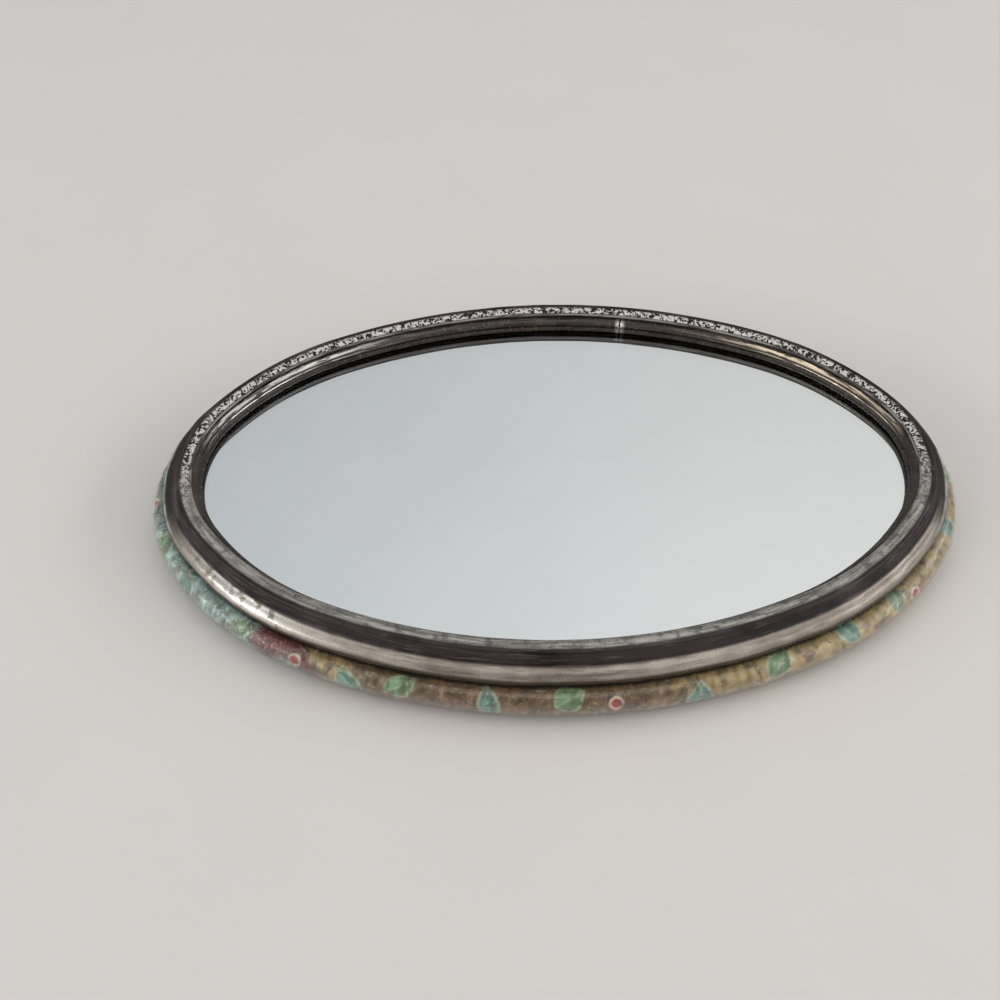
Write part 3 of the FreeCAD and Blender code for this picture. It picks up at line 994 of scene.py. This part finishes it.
def rim_tin():
    """Old tin plate: matt bead with painted shade under it and on its far side and a painted highlight on
    its crest there, a cove painted black as shade, and a ridge painted black as shaded, with white flecks,
    or pale as lit on the near side.
    """
    graph = Surface("rim_tin", IOR=1.28)
    place = graph.attribute("unrolled")
    ridge, cove, under, pitted = graph.shares("on_ridge", "cove_shade", "under_bead_shade", "pitted")
    near_side, bead_near_side, rubbed = graph.shares("near_side", "bead_near_side", "rubbed")
    crest, lip = graph.shares("crest_highlight", "on_lip")
    flecks = graph.noise(place, 0.42, detail=2.0, distortion=1.2)
    fine = graph.noise(place, 0.12, detail=2.0, roughness=0.5)
    broad = graph.noise(place, 5.0)
    patches = graph.noise(place, 1.2)
    streaks = graph.noise(graph.scaled(place, (0.3, 0.3, 4.0)), 1.0)
    # bead: painted shade on its far side, with a painted highlight line along its crest there
    bead = graph.mix(graph.between(broad), *BEAD_TINTS)
    bead = graph.mix(graph.between(streaks, 0.50, 0.66, 0, 0.6), bead, BEAD_STREAK)
    # painted highlight: a pale line on the crest of the far side's shaded bead
    line = graph.times(crest, graph.between(patches, 0.38, 0.56, 0.5, 1.0))
    bead = graph.mix(bead_near_side, graph.mix(line, FAR_BEAD_SHADE, CREST_HIGHLIGHT), bead)
    bright = graph.times(rubbed, graph.between(patches, 0.36, 0.48))
    bead = graph.mix(bright, bead, BARE_TIN)
    # painted shade on the bead's underside, down to the seam
    bead = graph.mix(under, bead, UNDER_BEAD_SHADE)
    # cove: painted shade where it faces away from the light; its lower part keeps the bead's colour as lit
    dark = graph.mix(graph.between(broad, 0.35, 0.65), *COVE_SHADE_TINTS)
    dark = graph.mix(graph.between(streaks, 0.56, 0.68, 0, 0.5), dark, COVE_STREAK)
    colour = graph.mix(cove, bead, dark)
    # ridge: painted reflection, black as shaded on the far side and pale as lit on the near side, with its
    # own white flecks
    pale = graph.mix(graph.between(streaks, 0.38, 0.62), *NEAR_RIDGE_LIGHT_TINTS)
    pale = graph.mix(graph.between(patches, 0.50, 0.64, 0, 0.7), pale, NEAR_RIDGE_PATCH)
    colour = graph.mix(ridge, colour, graph.mix(near_side, RIDGE_SHADE, pale))
    light = graph.between(graph.less(flecks, graph.times(pitted, 0.06)), 0.46, 0.51)
    light = graph.times(light, ridge, graph.rest(graph.times(near_side, 0.9)))
    colour = graph.mix(light, colour, FLECK)
    edge = graph.times(lip, graph.between(streaks, 0.44, 0.56, 0.15, 0.8))
    colour = graph.mix(edge, colour, LIP_EDGE)
    # metal shows on the bead, most of all where it is rubbed, and on the near side of the ridge, which is
    # painted pale as lit
    top = graph.times(graph.rest(cove), graph.rest(under), bead_near_side)
    metal = graph.times(top, graph.most(bright, 0.4))
    metal = graph.most(metal, graph.times(ridge, near_side, 0.45))
    metal = graph.most(metal, edge)
    # away from the near side, the cove and the ridge are matt, but not the flecks
    grime = graph.times(graph.rest(near_side), graph.rest(light), cove)
    rough = graph.plus(graph.between(fine, to_low=0.16, to_high=0.28), graph.times(light, 0.3))
    rough = graph.plus(rough, graph.times(graph.less(top, bright), 0.1))
    rough = graph.plus(rough, graph.times(grime, 0.5))
    normal = graph.bump(fine, 0.012, 0.5, after=graph.bump(flecks, 0.05, 0.4))
    return graph.set(Base_Color=colour, Roughness=rough, Metallic=metal, Normal=normal)


RING_TINTS = ((0.018, 0.014, 0.012), (0.045, 0.035, 0.029))
RING_SPECK = (0.16, 0.13, 0.105)
# the second shine tint is the painted warm reflection on the right side
SHINE_TINTS = ((0.60, 0.585, 0.56), (0.62, 0.52, 0.38))
RING_END = (0.75, 0.72, 0.66)


def ring_tin():
    """Dark tarnished tin with streaks of bare metal along it, tinted warm on the right side as a painted
    reflection, worn bright at its two ends.
    """
    graph = Surface("ring_tin", IOR=1.4)
    place = graph.attribute("unrolled")
    ends, polished, warm_reflection = graph.shares("near_split", "polished", "warm_reflection")
    fine = graph.noise(place, 0.3)
    streaks = graph.noise(graph.scaled(place, (0.25, 0.25, 3.0)), 0.6)
    colour = graph.mix(graph.between(graph.noise(place, 3.0)), *RING_TINTS)
    colour = graph.mix(graph.between(fine, 0.56, 0.70, 0, 0.6), colour, RING_SPECK)
    metal = graph.times(polished, graph.between(streaks, 0.42, 0.52, 0.1, 1.0))
    # bare metal, tinted warm on the right side as painted reflection
    colour = graph.mix(metal, colour, graph.mix(warm_reflection, *SHINE_TINTS))
    colour = graph.mix(ends, colour, RING_END)
    rough = graph.between(fine, to_low=0.06, to_high=0.2)
    return graph.set(Base_Color=colour, Roughness=rough, Metallic=graph.most(metal, ends),
                     Normal=graph.bump(fine, 0.004, 0.4))


TIN_TINTS = ((0.46, 0.45, 0.43), (0.62, 0.61, 0.59))
FILM_TINTS = ((0.90, 0.89, 0.86), (0.97, 0.96, 0.94))


def back_tin():
    """Plain tin, seen only where the cover is taken off."""
    graph = Surface("back_tin", Metallic=1.0)
    grain = graph.noise(graph.scaled(graph.position(), (0.2, 3.0, 3.0)), 0.8, roughness=0.55)
    colour = graph.mix(graph.between(grain), *TIN_TINTS)
    return graph.set(Base_Color=colour, Roughness=graph.between(grain, to_low=0.25, to_high=0.4))


def film():
    """Clear film with fine rubbing marks."""
    graph = Surface("film", IOR=1.49, Alpha=0.1, Transmission_Weight=1.0)
    rub = graph.noise(graph.attribute("printed"), 0.5, detail=4.0)
    colour = graph.mix(graph.between(rub, 0.55, 0.75), *FILM_TINTS)
    return graph.set(Base_Color=colour, Roughness=graph.between(rub, 0.4, 0.75, 0.03, 0.12),
                     Normal=graph.bump(rub, 0.01, 0.4))


# the print's wear, its painted light and shade, and how far up the side they lie
PLEAT_LIGHT_AND_SHADE = ((0.60, 0.61, 0.61), (1.3, 1.3, 1.27))
GRIME = (0.048, 0.038, 0.028)
SCRATCH = (0.50, 0.44, 0.32)
SPECK = (0.36, 0.33, 0.25)
PAINTED_SPARKLE = (0.66, 0.70, 0.68)
# painted shadow along the lip, under the bead
BEAD_SHADOW = (0.012, 0.010, 0.008)
LIP_START = math.pi / 2 * (ROLL_RADIUS + SHOULDER_RADIUS - 2 * FILM_THICK)
BEAD_SHADOW_START = LIP_START + 0.12
BEAD_SHADOW_END = LIP_START + 0.5


def print_paper():
    """Printed paper: painted light and shade in its pleats, grimy, scratched and specked, painted sparkles
    at the left end and painted shadow against the bead, and glossy under its film.
    """
    graph = Surface("print", Coat_Weight=1.0, Coat_Roughness=0.07, Coat_IOR=1.45)
    place = graph.attribute("printed")
    rightward = graph.part(place, "X")
    climbed = graph.attribute("climbed", "Fac")
    grain = graph.noise(place, 0.22)
    wash = graph.noise(place, 1.1, detail=4.0, roughness=0.65, distortion=0.8)
    # painted light and shade: the gathered side is streaked up and down along its pleats, most at the left
    side = graph.between(climbed, 0.3, 1.8)
    pleats = graph.noise(graph.scaled(graph.attribute("unrolled"), (1, 1, 0.22)), 0.45, distortion=0.4)
    shade = graph.mix(graph.between(pleats, 0.34, 0.66), *PLEAT_LIGHT_AND_SHADE)
    streaked = graph.times(side, graph.between(rightward, 5, -20, 0.3, 1.0))
    colour = graph.attribute("print_colour", "Color")
    colour = graph.mix(streaked, colour, graph.mix(1.0, colour, shade, "MULTIPLY"))
    colour = graph.mix(graph.between(wash, 0.48, 0.64, 0.0, 0.65), colour, GRIME)
    scratch = graph.noise(graph.scaled(place, (0.6, 2.0, 1)), 0.5, distortion=1.0)
    colour = graph.mix(graph.between(scratch, 0.60, 0.68, 0.0, 0.45), colour, SCRATCH)
    colour = graph.mix(graph.between(grain, 0.57, 0.66, 0.0, 0.4), colour, SPECK)
    # painted glints: the left end of the side is flecked with pale sparkles
    sparkle_zone = graph.times(graph.between(rightward, -22, -29), side)
    colour = graph.mix(graph.times(graph.between(grain, 0.60, 0.66), sparkle_zone), colour, PAINTED_SPARKLE)
    # painted shadow: the lip turns near black against the bead, where the bead's shade falls
    ragged = graph.plus(climbed, graph.between(grain, to_low=-0.1, to_high=0.1))
    colour = graph.mix(graph.between(ragged, BEAD_SHADOW_START, BEAD_SHADOW_END, 0.0, 0.93), colour, BEAD_SHADOW)
    normal = graph.bump(graph.noise(place, 0.7, detail=4.0, distortion=1.2), 0.06, 0.5)
    graph.feed(graph.shader.inputs["Coat Normal"], normal)
    return graph.set(Base_Color=colour, Roughness=0.6, Normal=normal)


GLASS_TINTS = ((0.965, 0.983, 0.978), (0.975, 0.988, 0.984))
SILVER_TINTS = ((0.905, 0.91, 0.915), (0.92, 0.925, 0.93))
TABLE_TINTS = ((0.694, 0.672, 0.657), (0.704, 0.682, 0.667))
CARD_TINTS = ((0.22, 0.18, 0.13), (0.42, 0.36, 0.28))


def clouded(name, tints, size, detail, harshness, **sockets):
    """A material whose colour wanders a little between two tints."""
    graph = Surface(name, **sockets)
    cloud = graph.noise(graph.position(), size, detail, harshness)
    return graph.set(Base_Color=graph.mix(graph.between(cloud), *tints))


def glass():
    return clouded("glass", GLASS_TINTS, 7.0, 4.0, 0.6, Roughness=0.0, IOR=1.52, Transmission_Weight=1.0)


def silvering():
    return clouded("silvering", SILVER_TINTS, 9.0, 3.0, 0.5, Metallic=1.0, Roughness=0.015)


def table_top():
    """Pale warm grey, with a little sheen that mirrors what stands on it."""
    return clouded("table_top", TABLE_TINTS, 14.0, 4.0, 0.5, Roughness=0.28, Specular_IOR_Level=0.3)


def card():
    """Pulp board with its fibres."""
    graph = Surface("card", Roughness=0.9)
    fibre = graph.noise(graph.position(), 0.5, detail=5.0, roughness=0.65)
    colour = graph.mix(graph.between(fibre, 0.35, 0.65), *CARD_TINTS)
    return graph.set(Base_Color=colour, Normal=graph.bump(fibre, 0.1, 0.5))


# The object

def dress():
    """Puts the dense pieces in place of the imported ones, and gives the hidden ones their materials."""
    film_piece = wrapped("film_sheet", 0.0, FILM_THICK - AIR, FILM_RINGS, film())
    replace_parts(film_piece, "clear_film")
    paper = wrapped("print_sheet", FILM_THICK, PAPER_THICK, PAPER_RINGS, print_paper(),
                    print_colour)
    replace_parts(paper, "printed_paper")
    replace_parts(front_rim(rim_tin()), "front_rim")
    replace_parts(retaining_ring(ring_tin()), "retaining_ring")
    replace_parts(glass_plate(glass()), "mirror_glass")
    hidden = {"back_shell": back_tin(), "silver_coat": silvering(), "backing_card": card()}
    for node, material in hidden.items():
        mesh = frame["nodes"][node].data
        mesh.materials.clear()
        mesh.materials.append(material)


# Table, camera and light

TABLE_REACH = 700


def floor():
    """The table top."""
    reach = TABLE_REACH * MM
    corners = [(-reach, -reach, 0), (reach, -reach, 0), (reach, reach, 0), (-reach, reach, 0)]
    mesh = bpy.data.meshes.new("table")
    mesh.from_pydata(corners, [], [(0, 1, 2, 3)])
    mesh.materials.append(table_top())
    piece = bpy.data.objects.new("table", mesh)
    bpy.context.scene.collection.objects.link(piece)


# the photograph's view: pixels of a 1000 pixel frame, and the place looked at
IMAGE = 1000
FOCAL_PIXELS = 1300
CENTRE_RIGHT_PIXELS = 54
CENTRE_UP_PIXELS = 17.5
DISTANCE = 113
ELEVATION = 50.7
ROLL = -1.0
LOOK_HEIGHT = 3.6
SENSOR = 36
NEAREST = 5
FARTHEST = 5000
LAMP_REACH = 420


def camera():
    """The photograph's camera, in front of the oval's long side."""
    data = bpy.data.cameras.new("camera")
    data.sensor_width = SENSOR
    data.lens = SENSOR * FOCAL_PIXELS / IMAGE
    data.clip_start = NEAREST * MM
    data.clip_end = FARTHEST * MM
    piece = bpy.data.objects.new("camera", data)
    bpy.context.scene.collection.objects.link(piece)
    up = Vector((0, sine(ELEVATION), cosine(ELEVATION)))
    forward = Vector((0, cosine(ELEVATION), -sine(ELEVATION)))
    right = Vector((1, 0, 0))
    scale = DISTANCE / FOCAL_PIXELS
    place = Vector((0, 0, LOOK_HEIGHT)) - forward * DISTANCE
    place -= right * CENTRE_RIGHT_PIXELS * scale + up * CENTRE_UP_PIXELS * scale
    turn = Matrix((right, up, -forward)).transposed() @ Matrix.Rotation(math.radians(ROLL), 3, "Z")
    piece.matrix_world = Matrix.Translation(place * MM) @ turn.to_4x4()
    bpy.context.scene.camera = piece


def lamp(name, heading, elevation, size, power, colour):
    """A soft oblong lamp that faces the part from a compass heading, counterclockwise from +X."""
    data = bpy.data.lights.new(name, "AREA")
    data.shape = "RECTANGLE"
    data.size, data.size_y = (length * MM for length in size)
    data.energy = power
    data.color = colour
    piece = bpy.data.objects.new(name, data)
    bpy.context.scene.collection.objects.link(piece)
    away = Vector((cosine(heading) * cosine(elevation), sine(heading) * cosine(elevation), sine(elevation)))
    piece.location = away * LAMP_REACH * MM
    piece.rotation_euler = (-away).to_track_quat("-Z", "Y").to_euler()


# the room's colours: beyond the part to the left and right, low and overhead, and at the sides and front
FAR_TINTS = ((0.545, 0.56, 0.585), (0.795, 0.79, 0.775))
FAR_LOW = (0.25, 0.245, 0.24)
OVERHEAD = (0.95, 0.94, 0.92)
SIDE_TINTS = ((0.25, 0.24, 0.23), (1.4, 1.38, 1.35))
FRONT = (0.045, 0.038, 0.038)
FRONT_ELEVATION = 38


def world():
    """Soft room: pale above and beyond, darker towards the front and low down."""
    room = bpy.data.worlds.new("room")
    bpy.context.scene.world = room
    room.use_nodes = True
    sky = Nodes(room.node_tree)
    place = sky.node("ShaderNodeTexCoord").outputs["Generated"]
    rightward, beyond, up = [sky.part(place, axis) for axis in "XYZ"]
    gain = sky.node("ShaderNodeVectorMath", operation="SCALE")
    sky.feed(gain.inputs[0], sky.mix(sky.between(rightward, -0.38, 0.42), *FAR_TINTS))
    sky.feed(gain.inputs["Scale"], sky.between(up, 0.62, 0.92, 0.87, 1.12))
    far = sky.mix(sky.between(up, 0.4, 0.58), FAR_LOW, gain.outputs[0])
    far = sky.mix(sky.between(up, 0.95, 0.98), far, OVERHEAD)
    side = sky.mix(sky.between(up, -0.1, 0.3), *SIDE_TINTS)
    colour = sky.mix(sky.between(beyond, -0.25, 0.2), side, far)
    # the dark shape of whatever stands at the front, where the picture is taken from
    toward = sky.node("ShaderNodeVectorMath", operation="DOT_PRODUCT")
    sky.feed(toward.inputs[0], place)
    sky.feed(toward.inputs[1], (0, -cosine(FRONT_ELEVATION), sine(FRONT_ELEVATION)))
    colour = sky.mix(sky.between(toward.outputs["Value"], 0.76, 0.92), colour, FRONT)
    sky.feed(room.node_tree.nodes["Background"].inputs["Color"], colour)


dress()
floor()
camera()
world()
lamp("window_right", heading=-4, elevation=34, size=(440, 100), power=0.4, colour=(1.0, 0.985, 0.96))
lamp("window_left", heading=202, elevation=28, size=(440, 90), power=0.36, colour=(1.0, 0.95, 0.88))
bpy.context.scene.view_settings.view_transform = "Standard"
